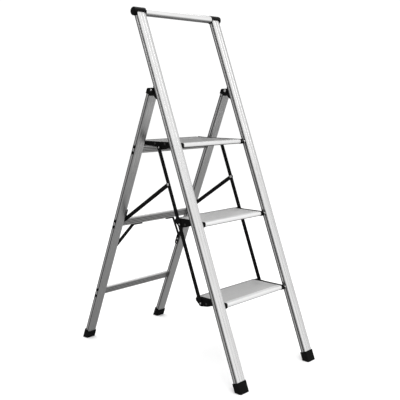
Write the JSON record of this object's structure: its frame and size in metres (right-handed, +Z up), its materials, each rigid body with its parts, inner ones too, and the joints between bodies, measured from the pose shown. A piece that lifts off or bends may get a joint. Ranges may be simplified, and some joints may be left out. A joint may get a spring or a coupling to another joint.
{
  "type": "step stool",
  "caption": "Folding aluminium step stool with wide ribbed treads, a high handrail between the stiles, a hinged rear frame and rubber feet.",
  "frame": {"origin": "on the floor, under the middle of the open stool", "axes": "+Z up, -Y towards the side that is climbed, +X to the right of a person who climbs"},
  "size_m": [0.402, 0.746, 1.14],
  "materials": {
    "polished_aluminium": "brushed along the bar",
    "rear_aluminium": "satin, drawn",
    "tread_aluminium": "satin, ribbed",
    "black_plastic": "semi-gloss black",
    "bracket_plastic": "fine moulded texture",
    "black_steel": "black satin paint",
    "foot_rubber": "matt",
    "zinc_steel": "bright zinc plate"
  },
  "bodies": {
    "front_frame": {"front_stile_left": "polished_aluminium", "front_stile_right": "polished_aluminium", "handrail": "polished_aluminium", "handrail_corner_cap_left": "black_plastic", "handrail_corner_cap_right": "black_plastic", "hinge_bracket_left": "black_plastic", "hinge_bracket_right": "black_plastic", "platform_pivot_rivet_left": "zinc_steel", "platform_pivot_rivet_right": "zinc_steel", "middle_step_pivot_rivet_left": "zinc_steel", "middle_step_pivot_rivet_right": "zinc_steel", "bottom_step_pivot_rivet_left": "zinc_steel", "bottom_step_pivot_rivet_right": "zinc_steel", "front_foot_left": "foot_rubber", "front_foot_right": "foot_rubber"},
    "rear_frame": {"rear_leg_left": "rear_aluminium", "rear_leg_right": "rear_aluminium", "rear_leg_cap_left": "black_plastic", "rear_leg_cap_right": "black_plastic", "hinge_bolt_left": "zinc_steel", "hinge_bolt_right": "zinc_steel", "upper_crossbar": "rear_aluminium", "middle_crossbar": "rear_aluminium", "lower_crossbar": "rear_aluminium", "knee_brace_left": "black_steel", "knee_brace_right": "black_steel", "strut_bracket_left": "black_steel", "strut_bracket_right": "black_steel", "strut_foot_rivet_left": "zinc_steel", "strut_foot_rivet_right": "zinc_steel", "rear_foot_left": "foot_rubber", "rear_foot_right": "foot_rubber"},
    "platform": {"platform_deck": "tread_aluminium", "platform_end_bracket_left": "bracket_plastic", "platform_end_bracket_right": "bracket_plastic", "platform_link_rivet_left": "zinc_steel", "platform_link_rivet_right": "zinc_steel"},
    "middle_step": {"middle_step_tread": "tread_aluminium", "middle_step_end_bracket_left": "bracket_plastic", "middle_step_end_bracket_right": "bracket_plastic", "middle_step_link_rivet_left": "zinc_steel", "middle_step_link_rivet_right": "zinc_steel"},
    "bottom_step": {"bottom_step_tread": "tread_aluminium", "bottom_step_end_bracket_left": "bracket_plastic", "bottom_step_end_bracket_right": "bracket_plastic", "bottom_step_link_rivet_left": "zinc_steel", "bottom_step_link_rivet_right": "zinc_steel"},
    "links": {"step_link_left": "black_steel", "step_link_right": "black_steel", "strut_link_rivet_left": "zinc_steel", "strut_link_rivet_right": "zinc_steel"},
    "struts": {"folding_strut_left": "black_steel", "folding_strut_right": "black_steel", "strut_top_rivet_left": "zinc_steel", "strut_top_rivet_right": "zinc_steel"}
  },
  "joints": [
    {"name": "rear_frame_fold", "type": "hinge", "parent": "front_frame", "child": "rear_frame", "pos_m": [0, -0.00234, 0.88354], "axis": [-1, 0, 0], "range_deg": [0, 41.48]},
    {"name": "platform_fold", "type": "hinge", "parent": "front_frame", "child": "platform", "pos_m": [0, -0.08983, 0.7115], "axis": [1, 0, 0], "range_deg": [0, 67.5]},
    {"name": "middle_step_fold", "type": "hinge", "parent": "front_frame", "child": "middle_step", "pos_m": [0, -0.18024, 0.4735], "axis": [1, 0, 0], "range_deg": [0, 67.5]},
    {"name": "bottom_step_fold", "type": "hinge", "parent": "front_frame", "child": "bottom_step", "pos_m": [0, -0.27065, 0.2355], "axis": [1, 0, 0], "range_deg": [0, 67.5]},
    {"name": "link_swing", "type": "hinge", "parent": "platform", "child": "links", "pos_m": [0, 0.00817, 0.7035], "axis": [-1, 0, 0], "range_deg": [0, 67.5]},
    {"name": "strut_swing", "type": "hinge", "parent": "rear_frame", "child": "struts", "pos_m": [0, 0.17275, 0.45167], "axis": [-1, 0, 0], "range_deg": [0, 31.27]}
  ],
  "couplings": [
    {"joint": "platform_fold", "follows": "rear_frame_fold", "ratio": 1.6272},
    {"joint": "middle_step_fold", "follows": "rear_frame_fold", "ratio": 1.6272},
    {"joint": "bottom_step_fold", "follows": "rear_frame_fold", "ratio": 1.6272},
    {"joint": "link_swing", "follows": "rear_frame_fold", "ratio": 1.6272},
    {"joint": "strut_swing", "follows": "rear_frame_fold", "ratio": 0.7538}
  ]
}
